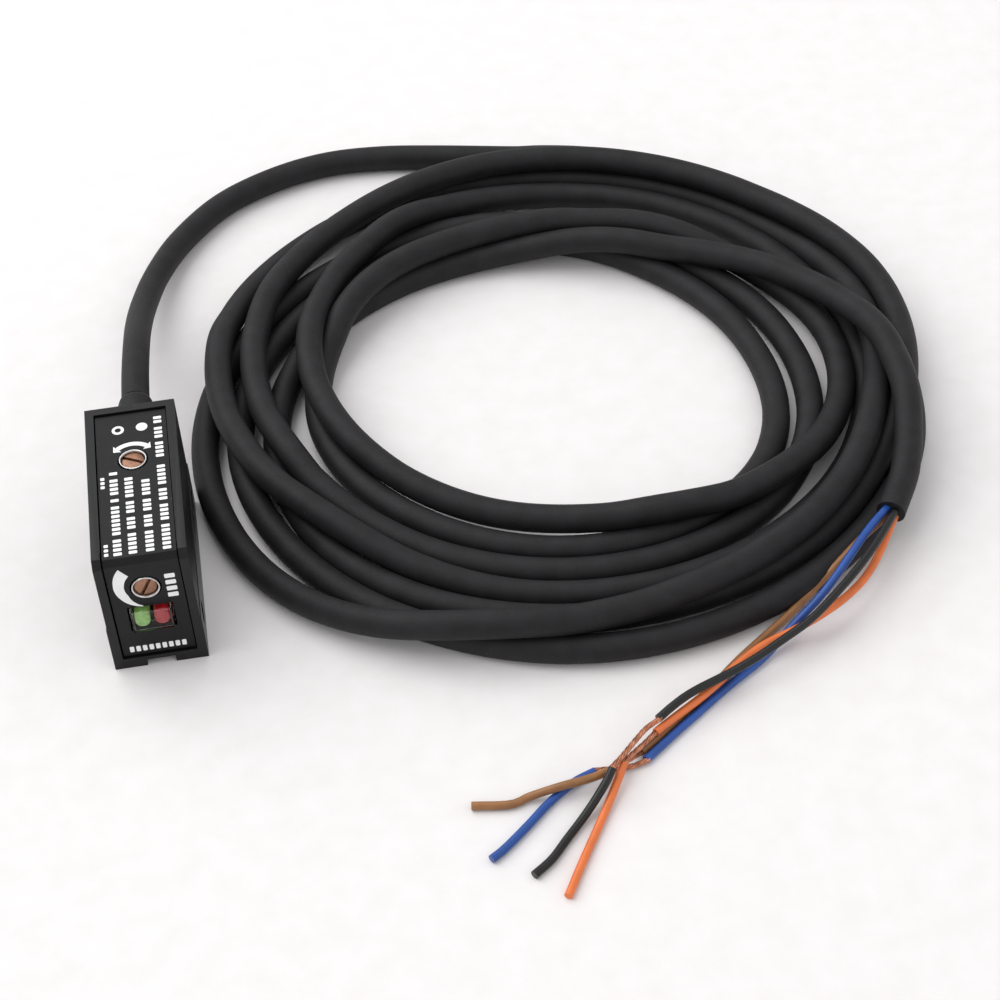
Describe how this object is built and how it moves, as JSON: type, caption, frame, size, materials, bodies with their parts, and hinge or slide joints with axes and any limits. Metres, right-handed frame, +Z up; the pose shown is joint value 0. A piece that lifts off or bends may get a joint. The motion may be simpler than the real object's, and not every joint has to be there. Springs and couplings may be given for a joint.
{
  "type": "photoelectric sensor",
  "caption": "Small rectangular photoelectric sensor with a label face, turnable sensitivity and mode adjusters, indicator window, and a coiled cable with stripped conductor ends.",
  "frame": {"origin": "centre of the sensor's footprint, on the surface that its lens face stands on, cable left out", "axes": "+Z up from the lens face to the label face, +Y along the body to the end that the cable leaves, +X to the side where the coil lies"},
  "size_m": [0.1167, 0.1517, 0.0198],
  "materials": {
    "case": "fine satin moulded ABS, near black",
    "panel": "satin moulded cover, near black",
    "print_white": "white ink, matt",
    "lens_red": "dark red tinted acrylic, polished",
    "clear": "clear moulded polycarbonate",
    "board": "glass-epoxy board with green solder resist",
    "chip": "moulded black component body",
    "tantalum": "ochre moulded component body",
    "tin": "bright tin or nickel plate",
    "rotor": "warm copper-coloured plated brass, turned",
    "led_green": "green tinted epoxy",
    "led_red": "red tinted epoxy",
    "cable_jacket": "matt black flexible PVC",
    "copper": "bare bright copper strands",
    "insulation_blue": "blue PVC insulation",
    "insulation_brown": "brown PVC insulation",
    "insulation_black": "black PVC insulation",
    "insulation_orange": "orange PVC insulation"
  },
  "bodies": {
    "sensor": {"case": "case", "cover_panel": "panel", "lens_cover": "lens_red", "indicator_window": "clear", "optics_holder": "chip", "emitter_lens": "clear", "receiver_lens": "clear", "emitter_led": "clear", "photodiode": "chip", "receiver_shield": "tin", "main_board": "board", "display_board": "board", "signal_chip": "chip", "output_transistor": "chip", "filter_capacitor": "tantalum", "green_led": "led_green", "red_led": "led_red", "mode_switch_body": "chip", "trimmer_body": "chip", "mode_bezel": "tin", "sens_bezel": "tin", "strain_relief": "cable_jacket", "cable_lead": "cable_jacket", "cable_coil": "cable_jacket", "cable_tail": "cable_jacket", "inner_lead_blue": "insulation_blue", "conductor_blue": "insulation_blue", "sleeve_blue": "insulation_blue", "core_blue": "copper", "inner_lead_brown": "insulation_brown", "conductor_brown": "insulation_brown", "sleeve_brown": "insulation_brown", "core_brown": "copper", "inner_lead_black": "insulation_black", "conductor_black": "insulation_black", "sleeve_black": "insulation_black", "core_black": "copper", "inner_lead_orange": "insulation_orange", "conductor_orange": "insulation_orange", "sleeve_orange": "insulation_orange", "core_orange": "copper"},
    "sens_adjuster": {"sens_adjuster": "rotor"},
    "mode_selector": {"mode_selector": "rotor"}
  },
  "joints": [
    {"name": "sensitivity_turn", "type": "hinge", "parent": "sensor", "child": "sens_adjuster", "pos_m": [0, -0.01255, 0.0143], "axis": [0, 1, 0], "range_deg": [-120, 120]},
    {"name": "mode_turn", "type": "hinge", "parent": "sensor", "child": "mode_selector", "pos_m": [0, 0.00445, 0.017], "axis": [0, 0, 1], "range_deg": [-105, 0]}
  ]
}
